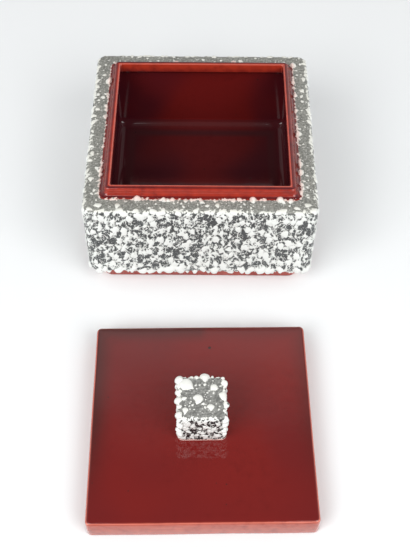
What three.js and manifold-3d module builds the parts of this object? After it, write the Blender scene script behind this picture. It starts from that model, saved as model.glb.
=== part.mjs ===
// A square ceramic keepsake box with a lift-off lid, built from clay slabs, strips and coils.
// Millimetres, +Z up. The origin is the centre of the foot's underside, on the table.
// The lid lies on the table in front of the box, as it does once it has been taken off.

import * as THREE from 'three';
import { mergeVertices } from 'three/addons/utils/BufferGeometryUtils.js';
import Module from 'manifold-3d';

const wasm = await Module();
wasm.setup();

// Foot: a plain slab that lifts the body off the table
const footHeight = 12;
const footInset = 7.3;
const footCorner = 7;
const footEdge = 1;

// Body: a floor slab, four walls and a shoulder of four strips that reaches in over the hollow
// and is cut back underneath to a thin lip at the mouth
const bodyWidth = 140;
const bodyCorner = 6;
const floorThickness = 6;
const floorEdge = 3.5;
const wallThickness = 12;
const wallHeight = 46;
const shoulderThickness = 6;
const shoulderReach = 5;
const shoulderEdge = 3;
const shoulderLip = 0.6;

// Coils smoothed into the inside corners, with a blunt edge where they meet floor and wall
const coilRadius = 6;
const cornerCoilRadius = 2.5;
const coilLip = 0.6;

// Collar: a low strip round the mouth that flares out to the shoulder at its foot
const collarThickness = 3.6;
const collarRise = 5.6;
const collarFlare = 3.1;
const collarFlareLip = 0.4;
const collarEdge = 1.2;
const collarOuterCorner = 3;
const mouthCorner = 1.2;

// Lid: a slab that rests on the collar, with a rim of four strips that drops round it
const lidFit = 0.8;
const lidThickness = 11.4;
const lidEdge = 1.8;
const lidCorner = 2.8;
const rimThickness = 4.5;
const rimDepth = 3.4;
const rimEdge = 1.4;

// Knob: a small block luted to the middle of the lid
const knobWidth = 27;
const knobHeight = 23.6;
const knobCorner = 3;
const knobEdge = 2.5;

// Where the lid lies: its clear distance from the box, its sideways shift and its turn in degrees
const lidGap = 41.9;
const lidShift = 1.8;
const lidTurn = 1.14;

// The layer of slip between strips that meet side by side, and the facets of round corners and edges
const slipJoint = 0.3;
const cornerSteps = 6;
const edgeSteps = 4;
const sharpCorner = 0.2;

// Levels and half-widths that follow from the sizes above
const floorBottom = footHeight;
const floorTop = floorBottom + floorThickness;
const wallTop = floorTop + wallHeight;
const shoulderTop = wallTop + shoulderThickness;
const bodyHalf = bodyWidth / 2;
const footHalf = bodyHalf - footInset;
const hollowHalf = bodyHalf - wallThickness;
const mouthHalf = hollowHalf - shoulderReach;
const collarHalf = mouthHalf + collarThickness;
const rimInnerHalf = collarHalf + lidFit;
const lidHalf = rimInnerHalf + rimThickness;
const lidTop = rimDepth + lidThickness;
const coilHalf = hollowHalf - slipJoint;
const coilSize = coilRadius + coilLip;
const cornerCoilSize = cornerCoilRadius + coilLip;
const coilTop = floorTop + coilSize;

// Glazes
const speckledGlaze = { color: 0xb9b8b2, roughness: 0.3, metalness: 0 };
const redGlaze = { color: 0x7c1e1b, roughness: 0.12, metalness: 0 };
const deepRedGlaze = { color: 0x561518, roughness: 0.12, metalness: 0 };

// One outline of a square section: half-width, corner radius and height
function level(half, corner, z) {
  return { half, corner: Math.max(corner, sharpCorner), z };
}

// The points of a square with round corners, anticlockwise from above
function squareLoop({ half, corner, z }) {
  const points = [];
  const centre = half - corner;
  for (let side = 0; side < 4; side += 1) {
    const start = side * Math.PI / 2;
    const cornerX = centre * Math.SQRT2 * Math.cos(start + Math.PI / 4);
    const cornerY = centre * Math.SQRT2 * Math.sin(start + Math.PI / 4);
    for (let step = 0; step <= cornerSteps; step += 1) {
      const angle = start + step / cornerSteps * Math.PI / 2;
      points.push([cornerX + corner * Math.cos(angle), cornerY + corner * Math.sin(angle), z]);
    }
  }
  return points;
}

// The square counterpart of a lathe: each level is a loop, and neighbouring loops are joined.
// A solid is capped at its first and last level, and a ring closes on its first level instead.
function squareTurned(levels, isRing = false) {
  const loops = levels.map(squareLoop);
  const count = loops[0].length;
  const positions = loops.flat();
  const faces = [];
  const joined = isRing ? loops.length : loops.length - 1;
  for (let row = 0; row < joined; row += 1) {
    const below = row * count;
    const above = (row + 1) % loops.length * count;
    for (let i = 0; i < count; i += 1) {
      const next = (i + 1) % count;
      faces.push(below + i, below + next, above + next);
      faces.push(below + i, above + next, above + i);
    }
  }
  if (!isRing) {
    const top = (loops.length - 1) * count;
    for (let i = 1; i < count - 1; i += 1) {
      faces.push(0, i + 1, i);
      faces.push(top, top + i, top + i + 1);
    }
  }
  const geometry = new THREE.BufferGeometry();
  geometry.setAttribute('position', new THREE.Float32BufferAttribute(positions.flat(), 3));
  geometry.setIndex(faces);
  return geometry;
}

// Points of a quarter round about a centre, as [distance out, height] pairs
function quarterRound(out, height, radius, fromAngle, toAngle) {
  const points = [];
  for (let step = 0; step <= edgeSteps; step += 1) {
    const angle = THREE.MathUtils.degToRad(fromAngle + (toAngle - fromAngle) * step / edgeSteps);
    points.push([out + radius * Math.cos(angle), height + radius * Math.sin(angle)]);
  }
  return points;
}

// The levels of a block with straight sides, round at its lower or upper edge
function blockLevels({ half, corner, bottom, top, lowerEdge = 0, upperEdge = 0 }) {
  const lower = lowerEdge > 0
    ? quarterRound(half - lowerEdge, bottom + lowerEdge, lowerEdge, -90, 0)
    : [[half, bottom]];
  const upper = upperEdge > 0
    ? quarterRound(half - upperEdge, top - upperEdge, upperEdge, 0, 90)
    : [[half, top]];
  return [...lower, ...upper].map(([out, z]) => level(out, corner - (half - out), z));
}

// A closed solid for cutting, and the geometry of a solid once it is cut
function solidFrom(geometry) {
  const bare = geometry.clone();
  bare.deleteAttribute('normal');
  bare.deleteAttribute('uv');
  const merged = mergeVertices(bare);
  return new wasm.Manifold(new wasm.Mesh({
    numProp: 3,
    vertProperties: new Float32Array(merged.attributes.position.array),
    triVerts: new Uint32Array(merged.index.array),
  }));
}

function geometryFrom(solid) {
  const { vertProperties, triVerts } = solid.getMesh();
  const geometry = new THREE.BufferGeometry();
  geometry.setAttribute('position', new THREE.Float32BufferAttribute(vertProperties, 3));
  geometry.setIndex([...triVerts]);
  return geometry;
}

// The quarter of the plan that one side owns, drawn back from both mitres by half a slip joint
const sides = ['front', 'right', 'back', 'left'];

function sideWedge(index) {
  const reach = 2 * bodyWidth;
  const apex = -slipJoint / Math.SQRT2;
  const outline = new THREE.Shape([
    new THREE.Vector2(0, apex),
    new THREE.Vector2(-reach, apex - reach),
    new THREE.Vector2(reach, apex - reach),
  ]);
  const wedge = new THREE.ExtrudeGeometry(outline, { depth: 2 * reach, bevelEnabled: false });
  wedge.translate(0, 0, -reach);
  wedge.rotateZ(index * Math.PI / 2);
  return solidFrom(wedge);
}

function addPiece(group, name, geometry, glaze) {
  geometry.computeVertexNormals();
  const mesh = new THREE.Mesh(geometry, new THREE.MeshStandardMaterial(glaze));
  mesh.name = name;
  group.add(mesh);
}

// A ring round the box, cut at the mitres into a front, right, back and left strip
function addStrips(group, name, ringLevels, glaze) {
  const ring = solidFrom(squareTurned(ringLevels, true));
  sides.forEach((side, index) => {
    const strip = ring.intersect(sideWedge(index));
    addPiece(group, `${name}_${side}`, geometryFrom(strip), glaze);
  });
}

const ceramicBox = new THREE.Group();

// Foot slab
addPiece(ceramicBox, 'foot_slab', squareTurned(blockLevels({
  half: footHalf,
  corner: footCorner,
  bottom: 0,
  top: footHeight,
  lowerEdge: footEdge,
})), redGlaze);

// Floor slab, rounded under its overhanging edge
addPiece(ceramicBox, 'floor_slab', squareTurned(blockLevels({
  half: bodyHalf,
  corner: bodyCorner,
  bottom: floorBottom,
  top: floorTop,
  lowerEdge: floorEdge,
})), speckledGlaze);

// Walls, mitred at the corners
addStrips(ceramicBox, 'wall', [
  level(hollowHalf, sharpCorner, floorTop),
  level(bodyHalf, bodyCorner, floorTop),
  level(bodyHalf, bodyCorner, wallTop),
  level(hollowHalf, sharpCorner, wallTop),
], speckledGlaze);

// Coils along the floor: a hollow quarter round whose corners match the corner coils at its top
addStrips(ceramicBox, 'floor_coil', [
  level(coilHalf - coilSize, sharpCorner, floorTop),
  level(coilHalf, sharpCorner, floorTop),
  level(coilHalf, sharpCorner, coilTop),
  ...quarterRound(coilHalf - coilSize, coilTop, coilRadius, 0, -90)
    .map(([out, z]) => level(out, (out - (coilHalf - coilSize)) * cornerCoilRadius / coilRadius, z)),
], deepRedGlaze);

// Coils up the inside corners, standing on the floor coils
const cornerCoilOutline = new THREE.Shape();
cornerCoilOutline.moveTo(coilHalf, coilHalf);
cornerCoilOutline.lineTo(coilHalf - cornerCoilSize, coilHalf);
cornerCoilOutline.lineTo(coilHalf - cornerCoilSize, coilHalf - coilLip);
cornerCoilOutline.absarc(
  coilHalf - cornerCoilSize, coilHalf - cornerCoilSize, cornerCoilRadius, Math.PI / 2, 0, true);
cornerCoilOutline.lineTo(coilHalf, coilHalf - cornerCoilSize);
['back_right', 'back_left', 'front_left', 'front_right'].forEach((corner, index) => {
  const coil = new THREE.ExtrudeGeometry(cornerCoilOutline, {
    depth: wallTop - coilTop,
    bevelEnabled: false,
    curveSegments: cornerSteps,
  });
  coil.translate(0, 0, coilTop);
  coil.rotateZ(index * Math.PI / 2);
  addPiece(ceramicBox, `corner_coil_${corner}`, coil, deepRedGlaze);
});

// Shoulder strips, rounded along their outer edge and undercut from the mouth to the walls
addStrips(ceramicBox, 'shoulder', [
  level(hollowHalf, sharpCorner, wallTop),
  ...blockLevels({
    half: bodyHalf,
    corner: bodyCorner,
    bottom: wallTop,
    top: shoulderTop,
    upperEdge: shoulderEdge,
  }),
  level(mouthHalf, mouthCorner, shoulderTop),
  level(mouthHalf, mouthCorner, shoulderTop - shoulderLip),
], speckledGlaze);

// Collar strips: flared foot outside, rounded lip on top
const collarTop = shoulderTop + collarRise;
const lipRadius = Math.min(collarEdge, collarThickness / 2);
const flareRadius = Math.min(collarFlare, collarRise - lipRadius - collarFlareLip);
const flareFoot = collarHalf + flareRadius;
const flareCentre = shoulderTop + collarFlareLip + flareRadius;

function collarLevel([out, z]) {
  return level(out, out > collarHalf ? collarOuterCorner + out - collarHalf : collarOuterCorner, z);
}

addStrips(ceramicBox, 'collar', [
  level(mouthHalf, mouthCorner, shoulderTop),
  collarLevel([flareFoot, shoulderTop]),
  ...quarterRound(flareFoot, flareCentre, flareRadius, -90, -180).map(collarLevel),
  ...quarterRound(collarHalf - lipRadius, collarTop - lipRadius, lipRadius, 0, 90).map(collarLevel),
  ...quarterRound(mouthHalf + lipRadius, collarTop - lipRadius, lipRadius, 90, 180)
    .map(([out, z]) => level(out, mouthCorner, z)),
], redGlaze);

// The lid and its knob, lying in front of the box
const lid = new THREE.Group();
lid.position.set(lidShift, -(bodyHalf + lidGap + lidHalf), 0);
lid.rotation.z = THREE.MathUtils.degToRad(lidTurn);
ceramicBox.add(lid);

addStrips(lid, 'lid_rim', [
  level(rimInnerHalf, collarOuterCorner + lidFit, 0),
  ...blockLevels({ half: lidHalf, corner: lidCorner, bottom: 0, top: rimDepth, lowerEdge: rimEdge }),
  level(rimInnerHalf, collarOuterCorner + lidFit, rimDepth),
], redGlaze);

addPiece(lid, 'lid_plate', squareTurned(blockLevels({
  half: lidHalf,
  corner: lidCorner,
  bottom: rimDepth,
  top: lidTop,
  upperEdge: lidEdge,
})), redGlaze);

addPiece(lid, 'knob', squareTurned(blockLevels({
  half: knobWidth / 2,
  corner: knobCorner,
  bottom: lidTop,
  top: lidTop + knobHeight,
  upperEdge: knobEdge,
})), speckledGlaze);

export default ceramicBox;
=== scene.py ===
"""A square ceramic box with its lid taken off and laid in front of it.

The outside and the lid's knob carry a white glaze that crawled into raised flakes and drops over a charcoal
ground. The inside, the collar, the foot and the lid are glazed oxblood red.
"""

import math
from collections import namedtuple

import bmesh
import bpy
import numpy as np
from mathutils import Matrix, Vector, kdtree, noise


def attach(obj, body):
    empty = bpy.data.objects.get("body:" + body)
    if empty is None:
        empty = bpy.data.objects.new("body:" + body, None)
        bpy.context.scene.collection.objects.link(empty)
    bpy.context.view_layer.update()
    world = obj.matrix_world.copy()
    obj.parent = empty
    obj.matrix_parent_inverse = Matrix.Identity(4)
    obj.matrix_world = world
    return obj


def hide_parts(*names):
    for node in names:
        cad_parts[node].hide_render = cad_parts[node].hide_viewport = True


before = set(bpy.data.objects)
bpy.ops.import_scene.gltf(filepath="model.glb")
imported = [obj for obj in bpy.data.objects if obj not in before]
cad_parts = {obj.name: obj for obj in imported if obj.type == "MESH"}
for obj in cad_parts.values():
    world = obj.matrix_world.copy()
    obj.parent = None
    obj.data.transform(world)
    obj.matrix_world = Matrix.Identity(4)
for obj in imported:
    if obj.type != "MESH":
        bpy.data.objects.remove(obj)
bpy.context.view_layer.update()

mm = 0.001

# The foot, a plain slab of stoneware under a glossy oxblood glaze that lifts the body off the table.
# It was cut smaller than the body from a rolled slab, sponged round at its edges and luted on with slip.
foot_width = 125.4 * mm
foot_height = 12 * mm
foot_corner = 7 * mm
foot_edge = 1 * mm


def new_block(name, width, low, high):
    """Adds a square block of that width between two heights and leaves it in edit mode."""
    bpy.ops.object.select_all(action="DESELECT")
    bpy.ops.mesh.primitive_cube_add(size=1, location=(0, 0, (low + high) / 2))
    block = bpy.context.object
    block.name = name
    block.data.name = name
    block.scale = (width, width, high - low)
    bpy.ops.object.transform_apply(location=True, rotation=True, scale=True)
    bpy.ops.object.mode_set(mode="EDIT")
    return block


def pick(piece, kind, wanted):
    """In edit mode, selects the faces or edges whose middle and face normals pass the test."""
    bpy.ops.mesh.select_mode(type=kind)
    bpy.ops.mesh.select_all(action="DESELECT")
    mesh = bmesh.from_edit_mesh(piece.data)
    mesh.normal_update()
    for part in mesh.faces if kind == "FACE" else mesh.edges:
        middle = sum((v.co for v in part.verts), Vector()) / len(part.verts)
        normals = [part.normal] if kind == "FACE" else [f.normal for f in part.link_faces]
        part.select_set(bool(wanted(middle, normals)))
    mesh.select_flush_mode()
    bmesh.update_edit_mesh(piece.data)


def round_edges(piece, radius, steps, wanted):
    """In edit mode, rounds the edges that pass the test."""
    pick(piece, "EDGE", wanted)
    bpy.ops.mesh.bevel(offset=radius, offset_type="OFFSET", segments=steps, profile=0.5, affect="EDGES")


def upright(middle, normals):
    """An upright corner edge between two sides."""
    if len(normals) != 2:
        return False
    return normals[0].dot(normals[1]) < 0.5 and abs(normals[0].z) + abs(normals[1].z) < 0.1


def rim_at(height):
    """A test for the edges where the sides meet a level face at that height."""
    def found(middle, normals):
        if len(normals) != 2 or abs(middle.z - height) > 0.01 * mm:
            return False
        return abs(abs(normals[0].z) - abs(normals[1].z)) > 0.5
    return found


def numbers_of(piece, name):
    """The vertices' positions or normals as an array."""
    values = np.empty(len(piece.data.vertices) * 3)
    piece.data.vertices.foreach_get(name, values)
    return values.reshape(-1, 3)


def write_attribute(piece, name, values):
    """Keeps one number for each vertex, which the glaze reads."""
    attribute = piece.data.attributes.new(name, "FLOAT", "POINT")
    attribute.data.foreach_set("value", np.asarray(values, np.float32))


def thin_on_edges(piece, on_sides):
    """Marks where the glaze ran thin: 0 on level faces, 1 halfway round an edge, a share of it on the sides."""
    normals = np.abs(numbers_of(piece, "normal"))
    edge = np.clip((1 - normals.max(axis=1) - 0.06) / 0.15, 0, 1.3)
    write_attribute(piece, "thin", np.maximum(edge, on_sides * (normals[:, 2] < 0.5)))


foot = new_block("red_foot", foot_width, 0, foot_height)
round_edges(foot, foot_corner, 7, upright)
round_edges(foot, foot_edge, 3, rim_at(0))
bpy.ops.object.mode_set(mode="OBJECT")
bpy.ops.object.shade_smooth_by_angle(angle=math.radians(40))
thin_on_edges(foot, 0.3)


class Shade:
    """A value in a glaze's shader. Sums, differences and products of such values add their Math nodes."""

    def __init__(self, tree, socket=None):
        self.tree = tree
        self.socket = socket

    def node(self, kind, settings=None, inputs=None, out=0):
        """Adds a node, sets its settings, then its sockets' values or links, and gives one of its outputs."""
        made = self.tree.nodes.new("ShaderNode" + kind)
        for name, value in (settings or {}).items():
            setattr(made, name, value)
        for name, value in (inputs or {}).items():
            if isinstance(value, Shade):
                self.tree.links.new(value.socket, made.inputs[name])
            else:
                made.inputs[name].default_value = value
        return Shade(self.tree, made.outputs[out] if made.outputs else None)

    def math(self, operation, first, second):
        return self.node("Math", {"operation": operation}, {0: first, 1: second})

    def __add__(self, other):
        return self.math("ADD", self, other)

    def __sub__(self, other):
        return self.math("SUBTRACT", self, other)

    def __mul__(self, other):
        return self.math("MULTIPLY", self, other)

    def __rsub__(self, other):
        return self.math("SUBTRACT", other, self)

    __radd__ = __add__
    __rmul__ = __mul__

    def between(self, low, high):
        """0 below low, 1 above high and smooth between them."""
        limits = {"Value": self, "From Min": low, "From Max": high}
        return self.node("MapRange", {"interpolation_type": "SMOOTHSTEP"}, limits)

    def mixed(self, first, second):
        """One colour turning into another as this value goes from 0 to 1."""
        return self.node("Mix", {"data_type": "RGBA"}, {0: self, 6: first, 7: second}, out=2)


def colour(red, green, blue):
    return (red, green, blue, 1.0)


def red_glaze(name, deep, pool_and_shade_colour, thin_colour, swing, streaked=0.0, pinhole=(0, 0, -1), lit_middle=0.0):
    """Glossy oxblood red that swings between plum and a warmer red, for a piece whose attribute thin says where
    the glaze pooled, below 0, and where it ran thin, above 0, with pale edges from about 1.

    streaked is the share of pale streaks on thin sides and pinhole the place of one dark pinhole. The last
    argument says how far the warmer red is pushed to the piece's middle, a painted glow of light, with painted
    shade at the sides.
    """
    glaze = bpy.data.materials.new(name)
    glaze.use_nodes = True
    glaze.node_tree.nodes.clear()
    shade = Shade(glaze.node_tree)
    place = shade.node("TexCoord", out="Object")
    # The attribute thin also carries painted light: painted shade below 0 on the lid and low on the collar's side
    # inner faces, and a painted sheen on the collar's side tops.
    thin = shade.node("Attribute", {"attribute_name": "thin"}, out="Fac")
    pools = shade.node("TexNoise", None, {"Vector": place, "Scale": 34, "Detail": 3})
    cloud = shade.node("TexNoise", None, {"Vector": place, "Scale": 210, "Detail": 4})
    grain = shade.node("TexNoise", None, {"Vector": place, "Scale": 1100, "Detail": 2})
    pins = shade.node("TexVoronoi", None, {"Vector": place, "Scale": 75}, out="Distance")
    worn = (thin * (0.55 + 0.9 * cloud) + 0.16 * (pools - 0.5) + 0.10 * (cloud - 0.5)).between(0.0, 1.0)
    across = shade.node("SeparateXYZ", None, {"Vector": place}, out="X")
    aside = shade.node("Math", {"operation": "ABSOLUTE"}, {0: across})
    # The noise is the glaze's own swing between plum and warm red; the added term pushes warm red to the middle as
    # a painted glow of light and plum to the sides as painted shade.
    warm_tone_and_glow = shade.node("TexNoise", None, {"Vector": place, "Scale": 19, "Detail": 1})
    warm_tone_and_glow = warm_tone_and_glow + lit_middle * (30 * mm - aside)
    red, green, blue = deep
    plum = colour((1 - 0.75 * swing) * red, (1 - 0.35 * swing) * green, (1 + 0.7 * swing) * blue)
    warm = colour((1 + swing) * red, green, (1 - 0.3 * swing) * blue)
    clear = warm_tone_and_glow.between(0.3, 0.7).mixed(plum, warm)
    # Below 0: glaze pooled on the lining, and painted shade along the lid's back and side edges.
    pooled = (0.0 - thin).between(0.0, 1.0)
    clear = pooled.mixed(clear, colour(*pool_and_shade_colour))
    tint = worn.mixed(clear, colour(*thin_colour))
    streak = shade.node("VectorMath", {"operation": "MULTIPLY"}, {0: place, 1: (30, 30, 900)})
    streaks = shade.node("TexNoise", None, {"Vector": streak, "Scale": 1, "Detail": 2})
    bare = thin.between(0.95, 1.3) * 0.8 + thin.between(0.6, 0.75) * streaks.between(0.55, 0.75) * streaked
    tint = bare.mixed(tint, colour(0.74, 0.25, 0.19))
    dark = colour(0.62 * red, 0.62 * green, 0.62 * blue)
    tint = ((pools - cloud) * 0.7).between(0.0, 0.6).mixed(tint, grain.between(0.35, 0.75).mixed(dark, tint))
    hole_far = shade.node("VectorMath", {"operation": "DISTANCE"}, {0: place, 1: pinhole}, out="Value")
    holes = 1 - pins.between(0.03, 0.05) * hole_far.between(0.6 * mm, 1.1 * mm)
    tint = holes.mixed(tint, colour(0.03, 0.012, 0.01))
    gloss = 0.03 + 0.06 * cloud + 0.03 * grain
    skin = 0.8 * cloud + 0.2 * grain - 0.6 * holes
    bump = shade.node("Bump", None, {"Strength": 0.10, "Distance": 0.3 * mm, "Height": skin})
    finish = {"Base Color": tint, "Roughness": gloss, "IOR": 1.5, "Normal": bump}
    surface = shade.node("BsdfPrincipled", None, finish)
    shade.node("OutputMaterial", None, {"Surface": surface})
    return glaze


foot_glaze = red_glaze("foot_red", (0.24, 0.022, 0.016), (0.12, 0.02, 0.016), (0.44, 0.085, 0.06), 0.15)
foot.data.materials.append(foot_glaze)
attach(foot, "box")
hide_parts("foot_slab")

# The lining, everything red inside the body, and the low collar round the mouth that the lid drops over.
# Floor slab, corner coils and collar strips were smoothed into one surface with a wet finger and glazed red.
# The glaze ran thin on the collar and pooled on the floor, most of all round its edge.
# On the collar, painted shade darkens the side inner faces and a painted sheen lightens the side tops.
lining_half = 58.9 * mm
cavity_half = 58 * mm
cavity_floor = 18 * mm
cavity_corner = 2.3 * mm
cove_radius = 5.6 * mm
pool_width = 8 * mm
undercut_low = 64 * mm
mouth_half = 53 * mm
mouth_corner = 1.2 * mm
mouth_low = 69.4 * mm
collar_half = 56.6 * mm
collar_corner = 3 * mm
collar_foot = 70 * mm
collar_top = 75.6 * mm
collar_edge = 1.8 * mm
lip_edge = 0.6 * mm
flare = 3.1 * mm
flare_lip = 0.4 * mm
flare_tuck = 1.5 * mm
undercut_rise = 2.6 * mm
cut_above = 5 * mm
thin_from = 68.4 * mm
thin_fade = 1.5 * mm
collar_outside = 55 * mm
touch = 0.01 * mm


def pull(height, factor):
    """In edit mode, extrudes what is selected to another height and spreads it level by a factor."""
    bpy.ops.mesh.extrude_region_move(TRANSFORM_OT_translate={"value": (0, 0, height)})
    bpy.ops.transform.resize(value=(factor, factor, 1), center_override=(0, 0, 0))


lining = new_block("red_lining", 2 * collar_half, collar_foot + flare_lip + flare, collar_top)
round_edges(lining, collar_corner, 6, upright)
round_edges(lining, collar_edge, 4, rim_at(collar_top))
pick(lining, "FACE", lambda middle, normals: normals[0].z < -0.9)
flare_steps = 6
reach = collar_half
level = collar_foot + flare_lip + flare
for step in range(1, flare_steps + 1):
    angle = math.radians(90 * step / flare_steps)
    next_reach = collar_half + flare * (1 - math.cos(angle))
    next_level = collar_foot + flare_lip + flare * (1 - math.sin(angle))
    pull(next_level - level, next_reach / reach)
    reach = next_reach
    level = next_level
pull(collar_foot - level, 1.0)
pull(-flare_tuck, lining_half / reach)
pull(foot_height - (collar_foot - flare_tuck), 1.0)
bpy.ops.object.mode_set(mode="OBJECT")

hollow = new_block("hollow", 2 * cavity_half, cavity_floor, undercut_low)
pick(hollow, "EDGE", rim_at(cavity_floor))
bpy.ops.transform.edge_bevelweight(value=1.0)
pick(hollow, "EDGE", upright)
bpy.ops.transform.edge_bevelweight(value=cavity_corner / cove_radius)
bpy.ops.object.mode_set(mode="OBJECT")
coves = hollow.modifiers.new("coves", "BEVEL")
coves.limit_method = "WEIGHT"
coves.width = cove_radius
coves.segments = 9
bpy.ops.object.modifier_apply(modifier="coves")
bpy.ops.object.mode_set(mode="EDIT")
pick(hollow, "FACE", lambda middle, normals: normals[0].z > 0.9)
pull(mouth_low - undercut_low, mouth_half / cavity_half)
pick(hollow, "FACE", lambda middle, normals: normals[0].z < -0.999)
bpy.ops.mesh.inset(thickness=pool_width / 2, use_boundary=True)
bpy.ops.mesh.inset(thickness=pool_width / 2, use_boundary=True)
bpy.ops.object.mode_set(mode="OBJECT")
mouth = new_block("mouth", 2 * mouth_half, undercut_low + undercut_rise, collar_top - lip_edge)
round_edges(mouth, mouth_corner, 4, upright)
pick(mouth, "FACE", lambda middle, normals: normals[0].z > 0.9)
lip_steps = 4
reach = mouth_half
level = collar_top - lip_edge
for step in range(1, lip_steps + 1):
    angle = math.radians(90 * step / lip_steps)
    next_reach = mouth_half + lip_edge * (1 - math.cos(angle))
    next_level = collar_top - lip_edge + lip_edge * math.sin(angle)
    pull(next_level - level, next_reach / reach)
    reach = next_reach
    level = next_level
pull(cut_above, 1.0)
bpy.ops.object.mode_set(mode="OBJECT")


def cut_away(piece, tool):
    """Takes a tool's volume out of a piece and removes the tool."""
    bpy.ops.object.select_all(action="DESELECT")
    piece.select_set(True)
    bpy.context.view_layer.objects.active = piece
    cut = piece.modifiers.new("cut", "BOOLEAN")
    cut.operation = "DIFFERENCE"
    cut.solver = "EXACT"
    cut.object = tool
    bpy.ops.object.modifier_apply(modifier="cut")
    bpy.data.objects.remove(tool)


cut_away(lining, hollow)
cut_away(lining, mouth)
bpy.ops.object.shade_smooth_by_angle(angle=math.radians(35))
weights = lining.modifiers.new("weights", "WEIGHTED_NORMAL")
weights.keep_sharp = True
bpy.ops.object.modifier_apply(modifier="weights")
places = numbers_of(lining, "co")
normals = np.abs(numbers_of(lining, "normal"))
height = places[:, 2]
beyond = np.abs(places[:, :2]).max(axis=1)
on_collar = np.clip((height - thin_from) / thin_fade, 0, 1)
on_lip = (beyond < mouth_half + 1.5 * lip_edge) & (height > collar_top - 1.5 * lip_edge)
lip = np.clip((1 - normals.max(axis=1)) / 0.16, 0, 1.3) * on_lip
down = np.clip((collar_top - height) / (collar_top - collar_foot), 0, 1)
on_side = np.abs(places[:, 0]) > np.abs(places[:, 1])
to_front = (mouth_half - places[:, 1]) / (2 * mouth_half)
# Painted shade: the side inner faces get a low amount, lightest at the front, so they read darker than the front
# and back inner faces, where the glaze runs thin. All inner faces get darker lower down.
inner = np.where(on_side, 0.03 + 0.45 * to_front, 0.97) * (1 - 0.4 * down)
# Painted sheen: the side tops get a higher amount, a paler pink that stands in for reflected light; the back top
# gets the least.
top = np.where(on_side, 0.3, np.where(places[:, 1] > 0, 0.05, 0.2))
outer = np.where(on_side, 0.42, 0.6)
face = np.where(normals[:, 2] > 0.8, top, np.where(beyond > collar_outside, outer, inner))
to_cove = cavity_half - cove_radius - beyond
ring = np.clip(1 - np.abs(to_cove - pool_width / 2) / (pool_width / 2), 0, 1)
on_floor = np.abs(height - cavity_floor) < touch
in_cove = (height > cavity_floor + touch) & (height < cavity_floor + 0.7 * cove_radius)
pooled = (0.48 + 0.52 * ring) * on_floor + 0.5 * in_cove
write_attribute(lining, "thin", on_collar * np.maximum(lip, face) - pooled)
# The last argument paints a glow of light in the lining's middle and shade towards its sides.
lining_glaze = red_glaze("lining_red", (0.090, 0.0085, 0.0090), (0.056, 0.0140, 0.0165), (0.43, 0.037, 0.017),
                         0.48, lit_middle=6.0)
lining.data.materials.append(lining_glaze)
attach(lining, "box")
lining_nodes = [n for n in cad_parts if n.startswith(("floor_coil", "corner_coil", "collar"))]
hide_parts("floor_slab", *lining_nodes)

# The body's outside, four wall slabs mitred at the corners and the shoulder strips on top of them.
# A charcoal ground glaze lies under a thick white one, which shrank in the fire and crawled into star-shaped
# flakes, and into drops that hang over the lower edge and ring the collar's foot.
body_width = 139 * mm
body_top = 69.9 * mm
body_corner = 6 * mm
body_low_edge = 3.5 * mm
body_top_edge = 3 * mm
body_mesh = 0.42 * mm
opening_half = 57.6 * mm
tuck_half = 58.8 * mm
tuck_depth = 3 * mm
collar_reach = (collar_half + flare) / mm
collar_round = 3.3
shoulder_from = 60.5
flakes_from = 68.3
white_coat = 0.42
white_sag = 2.2


def fine_skin(piece, spacing):
    """Gives a block an even, fine mesh that the glaze's drops can rise from."""
    remesh = piece.modifiers.new("skin", "REMESH")
    remesh.mode = "VOXEL"
    remesh.voxel_size = spacing
    bpy.ops.object.modifier_apply(modifier="skin")


Drop = namedtuple("Drop", "centre along across normal radius length tail lift")


def scatter_drops(skin, drops, where, sizes, dice, run=1.5, tails=(0.25, 1.0), lift=0.2):
    """Sets drops on the skin, the large ones first, each where it doesn't lie on an earlier one.

    skin has the vertices' places in millimetres, their normals and their spacing, and where has the chance of each
    vertex to carry a drop. Each of sizes has the smallest and largest radius, the tries per square millimetre and
    the gap to the neighbours. On a wall the drops are longer than wide by the factor run.
    """
    places, normals, spacing = skin
    chosen = np.flatnonzero(where > 0)
    area = len(chosen) * spacing ** 2
    centres = np.zeros((len(drops) + int(sum(s[2] for s in sizes) * area) + 1, 3))
    taken = np.zeros(len(centres))
    for index, drop in enumerate(drops):
        centres[index] = drop.centre
        taken[index] = drop.radius
    for small, large, tries, gap in sizes:
        for radius in np.sort(small + (large - small) * dice.random(int(tries * area)) ** 1.4)[::-1]:
            at = chosen[dice.integers(len(chosen))]
            normal = normals[at]
            up = np.array((0.0, 0.0, 1.0)) - normal * normal[2]
            steep = min(1.0, np.linalg.norm(up) / 0.6)
            turn = dice.normal(0, 0.5) if steep == 1 else dice.uniform(0, 2 * math.pi)
            merging = dice.random() < 0.5
            tail = dice.uniform(*tails) if radius > 0.65 else 0.15
            if dice.random() > where[at]:
                continue
            length = 1 + (run - 1) * steep
            known = len(drops)
            off = centres[:known] - places[at]
            room = np.sqrt(off[:, 0] ** 2 + off[:, 1] ** 2 + (off[:, 2] / length) ** 2) - taken[:known]
            if known and room.min() < radius + gap - (0.55 * radius if merging else 0):
                continue
            if steep < 1:
                up = np.cross(normal, (1.0, 0.0, 0.0))
            up = up / np.linalg.norm(up)
            along = math.cos(turn) * up + math.sin(turn) * np.cross(up, normal)
            centres[known] = places[at]
            taken[known] = radius
            drops.append(Drop(places[at], along, np.cross(along, normal), normal, radius, length, tail, lift))


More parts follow.
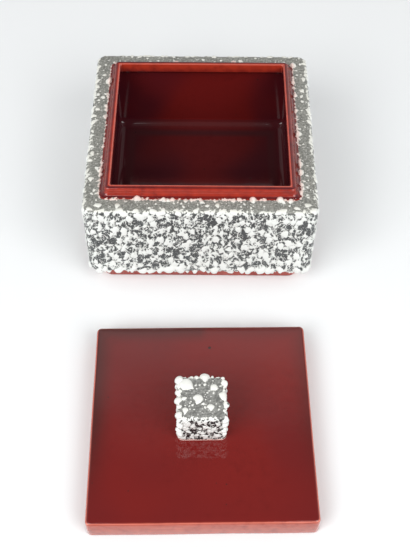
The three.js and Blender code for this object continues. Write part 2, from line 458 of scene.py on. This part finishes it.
def unrolled(places, half):
    """Each place's way round the four sides and its height, carried on over the upper and lower edge."""
    x, y, z = places.T
    beyond = np.maximum(np.maximum(np.abs(x), np.abs(y)), 0.1)
    front_or_back = np.where(y < 0, half + half * x / beyond, 5 * half - half * x / beyond)
    right_or_left = np.where(x > 0, 3 * half + half * y / beyond, 7 * half - half * y / beyond)
    round_sides = np.where(np.abs(y) >= np.abs(x), front_or_back, right_or_left)
    over_edge = np.where(z > (z.min() + z.max()) / 2, half - beyond, beyond - half)
    return round_sides, z + over_edge


def chance(column, row, seed):
    """A number from 0 to 1 that looks random, for each flake of a grid."""
    return np.abs(np.sin(127.1 * column + 311.7 * row + 74.7 * seed) * 43758.5453) % 1.0


def flakes(places, half, sizes, run, seed):
    """How far inside a flake of the shrunken white coat each place lies, in millimetres, below 0 in a gap.

    The coat drew together round scattered points into flakes, whose arms still reach some of their neighbours.
    Each of sizes has the points' spacing, the share of them that kept a whole flake, its least and most radius,
    and half the most that an arm is wide halfway. Flakes are longer than wide by run.
    """
    flat = places / (1, 1, run)
    bend = np.array([noise.noise_vector(Vector(p) / 3.0) for p in flat])
    twist = np.array([noise.noise_vector(Vector(p) / 1.1) for p in flat])
    slow = np.array([noise.noise(Vector(p) / 9.0) for p in flat])
    round_sides, height = unrolled(places, half)
    bent = np.stack([round_sides, height / run], axis=1) + 1.4 * bend[:, [0, 2]] + 0.6 * twist[:, [0, 2]]
    inside = np.full(len(places), -1.5)
    for size, share, least, most, arm in sizes:
        columns = round(8 * half / size)
        step = np.array((8 * half / columns, size))
        cell = np.floor(bent / step)
        points = []
        names = []
        for aside in (-1, 0, 1):
            for above in (-1, 0, 1):
                column = (cell[:, 0] + aside) % columns
                row = cell[:, 1] + above
                shift = np.stack([chance(column, row, seed + size + n) for n in (0, 1)], axis=1)
                points.append((cell + (aside, above) + 0.1 + 0.8 * shift) * step)
                names.append(chance(column, row, seed + size + 2))
        points = np.array(points)
        names = np.array(names)
        order = np.argsort(np.linalg.norm(points - bent, axis=2), axis=0)[:5]
        points = np.take_along_axis(points, order[:, :, None], axis=0)
        names = np.take_along_axis(names, order, axis=0)
        out = bent - points[0]
        radius = least + (most - least) * (17.3 * names[0] % 1.0)
        depth = radius - np.linalg.norm(out, axis=1)
        for other in (1, 2, 3, 4):
            link = points[other] - points[0]
            along = np.clip((out * link).sum(axis=1) / (link ** 2).sum(axis=1), 0, 0.5)
            off = np.linalg.norm(out - along[:, None] * link, axis=1)
            middle = arm * (1.7 * (41.7 * (names[0] + names[other]) % 1.0) - 0.7)
            depth = np.maximum(depth, middle + (0.9 * radius - middle) * (1 - 2 * along) ** 2 - off)
        inside = np.maximum(inside, depth + 0.2 * slow - 1.2 * (names[0] > share))
    return inside


def swell(piece, skin, drops, flaked, thickness, sag=0.0):
    """Raises the flakes and drops from the skin and keeps how far inside their outline each vertex lies.

    The drops' outlines run together where they lie close. thickness is that of the white coat, and sag how far
    it hangs below the lower edge, in millimetres.
    """
    places, normals = skin[:2]
    blend = 4.5
    margin = 1.5
    tree = kdtree.KDTree(len(places))
    for index, place in enumerate(places):
        tree.insert(place, index)
    tree.balance()
    inside = np.full(len(places), math.exp(-blend * margin))
    dome = np.zeros(len(places))
    bent = places + 0.6 * np.array([noise.noise_vector(Vector(place) / 2.4) for place in places])
    for drop in drops:
        reach = drop.radius * drop.length * (1 + drop.tail) + margin
        near = np.array([index for place, index, far in tree.find_range(drop.centre, reach)])
        off = bent[near] - drop.centre
        ahead = off @ drop.along / drop.length
        narrow = 1 - 0.6 * np.clip(ahead / (drop.radius * (1 + drop.tail)), 0, 1)
        ahead = np.where(ahead > 0, ahead / (1 + drop.tail), ahead)
        far = np.sqrt((off @ drop.across / narrow) ** 2 + ahead ** 2 + (off @ drop.normal) ** 2)
        inside[near] += np.exp(blend * np.clip(drop.radius - far, -margin, 3))
        dome[near] += (drop.lift * drop.radius * np.sqrt(np.clip(1 - (far / drop.radius) ** 2, 0, 1))) ** 3
    level = np.clip((normals[:, 2] - 0.35) / 0.4, 0, 1)
    inside = np.maximum(np.log(inside) / blend, flaked)
    coat = thickness * (1 - np.exp(-np.clip(inside, 0, 3) / 0.45)) + 0.08 * np.clip(inside, 0, 3)
    moved = places + normals * (coat + np.cbrt(dome))[:, None]
    low = np.clip((foot_height / mm + 5 - places[:, 2]) / 5, 0, 1)
    moved[:, 2] -= sag * low * np.clip(inside, 0, 1)
    piece.data.vertices.foreach_set("co", (moved * mm).ravel())
    write_attribute(piece, "drop", inside)
    write_attribute(piece, "level", level)
    piece.data.update()


body = new_block("glazed_body", body_width, foot_height, body_top)
round_edges(body, body_corner, 6, upright)
round_edges(body, body_low_edge, 4, rim_at(foot_height))
round_edges(body, body_top_edge, 4, rim_at(body_top))
bpy.ops.object.mode_set(mode="OBJECT")
fine_skin(body, body_mesh)
places = numbers_of(body, "co") / mm
normals = numbers_of(body, "normal")
skin = (places, normals, body_mesh / mm)
beyond = np.abs(places[:, :2]).max(axis=1)
facing_up = normals[:, 2]
lower_edge = (facing_up < 0.3) & (facing_up > -0.8) & (places[:, 2] < foot_height / mm + 4)
patchy = np.array([noise.noise(Vector(place) / 8) for place in places])
shoulder = (facing_up > 0.75) & (beyond > shoulder_from)
collar_core = collar_reach - collar_round
past_core = np.clip(np.abs(places[:, :2]) - collar_core, 0, None)
from_collar = np.where(beyond > collar_core, np.hypot(*past_core.T) - collar_round, beyond - collar_reach)
collar_line = (facing_up > 0.75) & (np.abs(from_collar - 0.4) < 0.8) & (patchy > -0.1)
shoulder_rim = (facing_up > 0.45) & (facing_up < 0.9)
dice = np.random.default_rng(11)
noise.seed_set(1)
drops = []
scatter_drops(skin, drops, 0.25 * shoulder_rim, [(0.7, 1.7, 0.2, 0.5)], dice)
scatter_drops(skin, drops, 1.0 * lower_edge, [(1.3, 2.8, 0.09, 0.2)], dice, tails=(0.1, 0.3))
scatter_drops(skin, drops, 1.0 * collar_line, [(0.7, 2.2, 0.09, 0.3), (0.4, 0.7, 0.3, 0.2)], dice, lift=0.8)
scatter_drops(skin, drops, 1.0 * shoulder, [(0.8, 1.8, 0.018, 0.8), (0.45, 0.8, 0.05, 0.6)], dice)
body_flakes = [(4.3, 0.94, 0.6, 2.05, 0.4), (2.0, 0.45, 0.25, 0.6, 0.12)]
inland = np.minimum(0.6 * np.clip(flakes_from - beyond, 0, 20), 0.1 + 0.6 * np.clip(from_collar - 0.5, 0, 20))
inland = inland * (facing_up > 0.3)
frayed = np.array([noise.noise(Vector(place) / 2.2) for place in places])
climbing = 0.3 - np.abs(from_collar + 0.2) + frayed
flaked = np.maximum(flakes(places, body_width / mm / 2, body_flakes, 1.55, 2.0) - inland, climbing)
heaped = np.clip(1.4 - np.abs(from_collar + 0.3), 0, 1) * (facing_up > 0.75)
swell(body, skin, drops, flaked, white_coat + 0.6 * heaped, white_sag)
stained = np.where(np.abs(places[:, 0]) > np.abs(places[:, 1]), 0.6, 0.85)
write_attribute(body, "blush", stained * np.clip((1.9 - from_collar) / 1.8, 0, 1))


def off_centre(point):
    """How far a point lies from the middle, to a side or to the front or back, whichever is more."""
    return max(abs(point.x), abs(point.y))


bpy.ops.object.mode_set(mode="EDIT")
pick(body, "FACE", lambda middle, normals: off_centre(middle) < opening_half)
bpy.ops.mesh.delete(type="FACE")
pick(body, "EDGE", lambda middle, normals: len(normals) == 1 and middle.z > body_top / 2)
bpy.ops.mesh.extrude_edges_move(TRANSFORM_OT_translate={"value": (0, 0, -tuck_depth)})
widen = tuck_half / opening_half
bpy.ops.transform.resize(value=(widen, widen, 1), center_override=(0, 0, 0))
pick(body, "EDGE", lambda middle, normals: len(normals) == 1)
bpy.ops.mesh.bridge_edge_loops()
bpy.ops.mesh.select_all(action="SELECT")
bpy.ops.mesh.normals_make_consistent(inside=False)
bpy.ops.object.mode_set(mode="OBJECT")


def speckled_glaze(name, dark, dusk, level_white, string_width):
    """White flakes and drops with thin greyish edges over a grainy charcoal ground, dark on walls and dusk on
    level faces, where the white is level_white. string_width is that of the fine white strings between flakes.
    """
    glaze = bpy.data.materials.new(name)
    glaze.use_nodes = True
    glaze.node_tree.nodes.clear()
    shade = Shade(glaze.node_tree)
    place = shade.node("TexCoord", out="Object")
    drop = shade.node("Attribute", {"attribute_name": "drop"}, out="Fac")
    level = shade.node("Attribute", {"attribute_name": "level"}, out="Fac")
    ragged = shade.node("TexNoise", None, {"Vector": place, "Scale": 1250, "Detail": 1})
    cloud = shade.node("TexNoise", None, {"Vector": place, "Scale": 160, "Detail": 3})
    speck = shade.node("TexNoise", None, {"Vector": place, "Scale": 800, "Detail": 2})
    flat = shade.node("VectorMath", {"operation": "MULTIPLY"}, {0: place, 1: (1, 1, 0.67)})
    jitter = shade.node("TexNoise", None, {"Vector": flat, "Scale": 900, "Detail": 1}, out="Color")
    bent = shade.node("VectorMath", {"operation": "MULTIPLY_ADD"}, {0: jitter, 1: (1.2 * mm,) * 3, 2: flat})
    gaps = {"Vector": bent, "Scale": 400}
    to_string = shade.node("TexVoronoi", {"feature": "DISTANCE_TO_EDGE"}, gaps, out="Distance")
    slack = shade.node("TexNoise", None, {"Vector": flat, "Scale": 400, "Detail": 0})
    strings = (string_width - 0.2 * level + 0.8 * (slack - 0.5) - 2.5 * to_string).between(-0.06, 0.06)
    flake = (drop + 0.6 * (ragged - 0.5)).between(-0.06, 0.06)
    pits = {"Vector": bent, "Scale": 300}
    pit_far = shade.node("TexVoronoi", None, pits, out="Distance")
    pit_kind = shade.node("SeparateColor", None, {"Color": shade.node("TexVoronoi", None, pits, out="Color")})
    flake = flake * (1 - (pit_kind * 0.42 - 0.18 - pit_far).between(-0.04, 0.04))
    covered = flake + strings - flake * strings
    grains = {"Vector": place, "Scale": 900}
    grain_far = shade.node("TexVoronoi", None, grains, out="Distance")
    grain_kind = shade.node("TexVoronoi", None, grains, out="Color")
    grain_size = shade.node("SeparateColor", None, {"Color": grain_kind})
    grain = (grain_size * 0.55 - 0.12 - grain_far).between(0.0, 0.15)
    ground = level.mixed(colour(*dark), colour(*dusk))
    paler = level.mixed(colour(*[1.8 * c for c in dark]), colour(*[2.0 * c for c in dusk]))
    ground = (cloud * 0.3 + speck * 0.9).between(0.45, 0.75).mixed(ground, paler)
    ground = (grain * 0.8).mixed(ground, colour(0.66, 0.66, 0.63))
    thick = (drop + 0.2 * (cloud - 0.5)).between(0.0, 0.4)
    white = thick.mixed(colour(0.67, 0.69, 0.66), colour(0.80, 0.82, 0.795))
    white = (cloud * 0.4 + level * 0.45).between(0.35, 0.75).mixed(white, colour(*level_white))
    blush = shade.node("Attribute", {"attribute_name": "blush"}, out="Fac")
    white = blush.mixed(white, colour(0.72, 0.47, 0.42))
    tint = covered.mixed(ground, white)
    gloss = 0.42 - 0.14 * covered
    relief = strings * (1 - flake) * 0.7 + grain * (1 - covered) * 0.5 + ragged * 0.15
    bump = shade.node("Bump", None, {"Strength": 0.6, "Distance": 0.35 * mm, "Height": relief})
    finish = {"Base Color": tint, "Roughness": gloss, "IOR": 1.5, "Normal": bump}
    surface = shade.node("BsdfPrincipled", None, finish)
    shade.node("OutputMaterial", None, {"Surface": surface})
    return glaze


body_glaze = speckled_glaze("speckled_white", (0.042, 0.046, 0.047), (0.150, 0.151, 0.136),
                            (0.70, 0.70, 0.64), 0.03)
body.data.materials.append(body_glaze)
bpy.ops.object.shade_smooth()
walls_in_order = {"front": (0, -1), "right": (1, 0), "back": (0, 1), "left": (-1, 0)}
for side, (across_x, across_y) in walls_in_order.items():
    bpy.ops.object.select_all(action="DESELECT")
    body.select_set(True)
    bpy.context.view_layer.objects.active = body
    bpy.ops.object.duplicate()
    wall = bpy.context.object
    wall.name = f"glazed_wall_{side}"
    wall.data.name = wall.name
    bpy.ops.object.mode_set(mode="EDIT")
    for lean in (1, -1):
        bpy.ops.mesh.select_all(action="SELECT")
        inward = (-across_x - lean * across_y, -across_y + lean * across_x, 0)
        bpy.ops.mesh.bisect(plane_co=(0, 0, 0), plane_no=inward, use_fill=True, clear_outer=True)
    bpy.ops.object.mode_set(mode="OBJECT")
    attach(wall, "box")
    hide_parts(f"wall_{side}", f"shoulder_{side}")
bpy.data.objects.remove(body)

# The lid, one slab with strips luted under its edge, so that it drops over the collar.
# Its glossy oxblood glaze is uneven by a hair where it was brushed on, and thin and orange along the edges.
# Painted shade darkens its top along the back and the sides, most at the back and on the left.
lid_width = 123.8 * mm
lid_height = 14.8 * mm
lid_corner = 2.8 * mm
lid_top_edge = 1.8 * mm
lid_low_edge = 1.4 * mm
rim_depth = 3.4 * mm
rim_inside = 57.6 * mm
rim_outside = 60 * mm
lid_place = (1.8 * mm, -173.8 * mm, 0)
lid_turn = math.radians(1.14)
lid_pinhole = (6.1 * mm, -127 * mm, lid_height)
lid_half = lid_width / mm / 2
shade_reach = 14
shade_front = -62
shade_fade = 60
wave_height = 0.18 * mm
wave_spacing = 38 * mm

bpy.ops.object.select_all(action="DESELECT")
bpy.ops.mesh.primitive_grid_add(x_subdivisions=28, y_subdivisions=28, size=lid_width)
lid = bpy.context.object
lid.name = "red_lid"
lid.data.name = "red_lid"
bpy.ops.object.mode_set(mode="EDIT")
bpy.ops.mesh.select_all(action="SELECT")
bpy.ops.mesh.extrude_region_move(TRANSFORM_OT_translate={"value": (0, 0, lid_height)})
bpy.ops.mesh.select_all(action="SELECT")
bpy.ops.mesh.normals_make_consistent(inside=False)


def on_outside(wanted):
    """The same test, but for the lid's outer edges alone and not for those of its recess."""
    def found(middle, normals):
        return wanted(middle, normals) and off_centre(middle) > rim_outside
    return found


pick(lid, "FACE", lambda middle, normals: normals[0].z < -0.9 and off_centre(middle) < rim_inside)
bpy.ops.mesh.extrude_region_move(TRANSFORM_OT_translate={"value": (0, 0, rim_depth)})
round_edges(lid, lid_corner, 6, on_outside(upright))
round_edges(lid, lid_top_edge, 6, rim_at(lid_height))
round_edges(lid, lid_low_edge, 3, on_outside(rim_at(0)))
bpy.ops.object.mode_set(mode="OBJECT")
thin_on_edges(lid, 0.75)
# Painted shade: near the back and side edges the lid's top is pushed below 0, into the darker second colour, most
# towards the back and more on the left than on the right.
places = numbers_of(lid, "co") / mm
thin_now = np.empty(len(places))
lid.data.attributes["thin"].data.foreach_get("value", thin_now)
to_edge = np.minimum(lid_half - np.abs(places[:, 0]), lid_half - places[:, 1])
shade_weight = np.where(places[:, 0] > 0, 0.6, 1.0) * np.clip((places[:, 1] - shade_front) / shade_fade, 0, 1)
on_top = (thin_now < 0.05) & (places[:, 2] > lid_height / mm - 2.8)
thin_now -= np.clip(1 - to_edge / shade_reach, 0, 1) * shade_weight * on_top
lid.data.attributes["thin"].data.foreach_set("value", thin_now)


def uneven(piece, swing, spacing):
    """Gives a glazed face the slow, slight waves of a brushed coat."""
    places = numbers_of(piece, "co")
    normals = numbers_of(piece, "normal")
    waves = np.array([noise.noise(Vector(p) / spacing) for p in places])
    lifted = places + normals * (swing * waves)[:, None]
    lifted[:, 2] = np.where(places[:, 2] < swing, places[:, 2], lifted[:, 2])
    piece.data.vertices.foreach_set("co", lifted.ravel())
    piece.data.update()


def lay_down(piece):
    """Turns and moves a piece of the lid to where the lid lies on the table."""
    piece.data.transform(Matrix.Translation(lid_place) @ Matrix.Rotation(lid_turn, 4, "Z"))
    piece.data.update()


uneven(lid, wave_height, wave_spacing)
bpy.ops.object.shade_smooth_by_angle(angle=math.radians(40))
lay_down(lid)
# The lid's second colour is painted shade along its back and side edges.
lid_glaze = red_glaze("lid_red", (0.152, 0.011, 0.0095), (0.068, 0.013, 0.0115), (0.42, 0.085, 0.055),
                      0.12, 0.4, lid_pinhole)
lid.data.materials.append(lid_glaze)
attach(lid, "lid")
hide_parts(*[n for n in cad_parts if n.startswith("lid_")])

# The knob, a small cube of clay luted to the middle of the lid, for two fingers.
# It has the body's charcoal and white glazes, whose drops gathered thickest along its edges.
knob_width = 26.7 * mm
knob_low = 14.6 * mm
knob_top = 38.3 * mm
knob_corner = 3 * mm
knob_edge = 2.5 * mm
knob_mesh = 0.32 * mm
knob_flakes_from = 12.2
knob_joint = 0.8
small_drops_from = -8

knob = new_block("glazed_knob", knob_width, knob_low, knob_top)
round_edges(knob, knob_corner, 5, upright)
round_edges(knob, knob_edge, 4, rim_at(knob_top))
bpy.ops.object.mode_set(mode="OBJECT")
fine_skin(knob, knob_mesh)
places = numbers_of(knob, "co") / mm
normals = numbers_of(knob, "normal")
skin = (places, normals, knob_mesh / mm)
leaning = 1 - np.abs(normals).max(axis=1)
above = places[:, 2] - knob_low / mm
edges = (leaning > 0.15) & (above > 2) & ~((normals[:, 1] < -0.4) & (normals[:, 2] > 0.3))
knob_face = (normals[:, 2] > 0.85) & (places[:, 1] > small_drops_from)
# The largest drops on the knob's top: place to the right and to the back, radius, the tail's turn and its length.
main_drops = [
    (-8.4, 8.2, 3.7, 60, 0.3), (-13.0, 11.5, 2.4, 0, 0.1), (1.8, 13.0, 3.0, 0, 0.0), (11.6, 1.0, 2.5, 20, 0.6),
    (-13.4, -1.5, 2.3, 0, 0.1), (-1.6, -0.6, 2.6, -15, 0.6), (1.9, 7.9, 1.0, 0, 0.0), (7.0, 5.8, 2.1, -50, 0.3),
    (4.9, -5.9, 1.9, 5, 0.4), (-8.7, -7.4, 1.7, -20, 0.7), (-9.4, -0.5, 1.3, 100, 0.3)]
drops = []
for right, back, radius, turn, tail in main_drops:
    at = np.argmin(np.linalg.norm(places - (right, back, knob_top / mm), axis=1))
    way = np.array((math.sin(math.radians(turn)), -math.cos(math.radians(turn)), 0.0))
    way -= normals[at] * (way @ normals[at])
    way /= np.linalg.norm(way)
    lift = 0.6 if leaning[at] > 0.12 else 0.2
    drops.append(Drop(places[at], way, np.cross(way, normals[at]), normals[at], radius, 1.0, tail, lift))
dice = np.random.default_rng(5)
edge_drops = [(1.0, 2.2, 0.4, 0.2), (0.6, 1.0, 0.5, 0.25)]
scatter_drops(skin, drops, 1.0 * edges, edge_drops, dice, 1.0, (0.05, 0.2), 0.6)
scatter_drops(skin, drops, 1.0 * knob_face, [(0.7, 1.1, 0.02, 0.8), (0.35, 0.6, 0.12, 0.5)], dice)
knob_flakes = [(3.2, 0.97, 0.8, 1.55, 0.2), (1.6, 0.45, 0.2, 0.5, 0.1)]
beyond = np.abs(places[:, :2]).max(axis=1)
inland = 1.2 * np.clip(knob_flakes_from - beyond, 0, 20) * (normals[:, 2] > 0.3)
flaked = np.where(above < knob_joint, 0.4, flakes(places, knob_width / mm / 2, knob_flakes, 1.6, 8.0) - inland)
swell(knob, skin, drops, flaked, 0.45)
write_attribute(knob, "blush", np.clip(1.8 - above, 0, 1))
knob_glaze = speckled_glaze("speckled_knob", (0.012, 0.014, 0.015), (0.141, 0.142, 0.133),
                            (0.80, 0.80, 0.75), 0.0)
knob.data.materials.append(knob_glaze)
bpy.ops.object.shade_smooth()
lay_down(knob)
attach(knob, "lid")
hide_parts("knob")

# The table that the pieces stand on, a plain white sheet, in a room with pale walls at the sides and behind.
# Two soft lights stand at the front, one on each side, and the camera looks down over the lid at the box.
bpy.ops.object.select_all(action="DESELECT")
bpy.ops.mesh.primitive_plane_add(size=6, location=(0, 0, 0))
table = bpy.context.object
table.name = "table"
paper = bpy.data.materials.new("white_sheet")
paper.use_nodes = True
paper.node_tree.nodes.clear()
shade = Shade(paper.node_tree)
place = shade.node("TexCoord", out="Object")
fleck = shade.node("TexNoise", None, {"Vector": place, "Scale": 3, "Detail": 2})
sheet = fleck.mixed(colour(0.855, 0.875, 0.885), colour(0.875, 0.89, 0.895))
surface = shade.node("BsdfPrincipled", None, {"Base Color": sheet, "Roughness": 0.6, "IOR": 1.4})
shade.node("OutputMaterial", None, {"Surface": surface})
table.data.materials.append(paper)

room = bpy.data.worlds.new("room")
bpy.context.scene.world = room
room.use_nodes = True
room.node_tree.nodes.clear()
shade = Shade(room.node_tree)
way = shade.node("TexCoord", out="Generated")
to_right = shade.node("SeparateXYZ", None, {"Vector": way}, out="X")
to_back = shade.node("SeparateXYZ", None, {"Vector": way}, out="Y")
to_side = shade.node("Math", {"operation": "ABSOLUTE"}, {0: to_right})
behind = to_back.between(0.43, 0.57) * (1 - to_back.between(0.57, 0.66)) * (1 - to_side.between(0.2, 0.5))
far_wall = to_back.between(0.6, 0.68) * (0.25 + 0.45 * to_right.between(0.0, 0.15))
strength = 0.17 + 0.62 * to_side.between(0.3, 0.75) + 0.9 * behind + far_wall
sky = shade.node("Background", None, {"Color": colour(1.0, 1.0, 1.0), "Strength": strength})
shade.node("OutputWorld", None, {"Surface": sky})


def soft_light(name, place, aim, width, height, power):
    """A soft light at a place, turned to a point."""
    bpy.ops.object.light_add(type="AREA", location=place)
    light = bpy.context.object
    light.name = name
    light.data.shape = "RECTANGLE"
    light.data.size = width
    light.data.size_y = height
    light.data.energy = power
    light.rotation_euler = (Vector(aim) - Vector(place)).to_track_quat("-Z", "Y").to_euler()


pieces_middle = (0, -0.1, 0.03)
soft_light("left_light", (-0.75, -1.0, 1.1), pieces_middle, 1.0, 1.0, 16.8)
soft_light("right_light", (0.75, -1.0, 1.1), pieces_middle, 1.0, 1.0, 14)

camera_place = (3.35 * mm, -430.31 * mm, 489.37 * mm)
camera_turn = (37.0474, -0.2283, 0.3445)
bpy.ops.object.camera_add(location=camera_place)
camera = bpy.context.object
camera.rotation_euler = [math.radians(angle) for angle in camera_turn]
camera.data.sensor_fit = "VERTICAL"
camera.data.sensor_height = 36
camera.data.lens = 62.625
camera.data.clip_start = 0.01
bpy.context.scene.camera = camera
bpy.context.scene.view_settings.view_transform = "Standard"
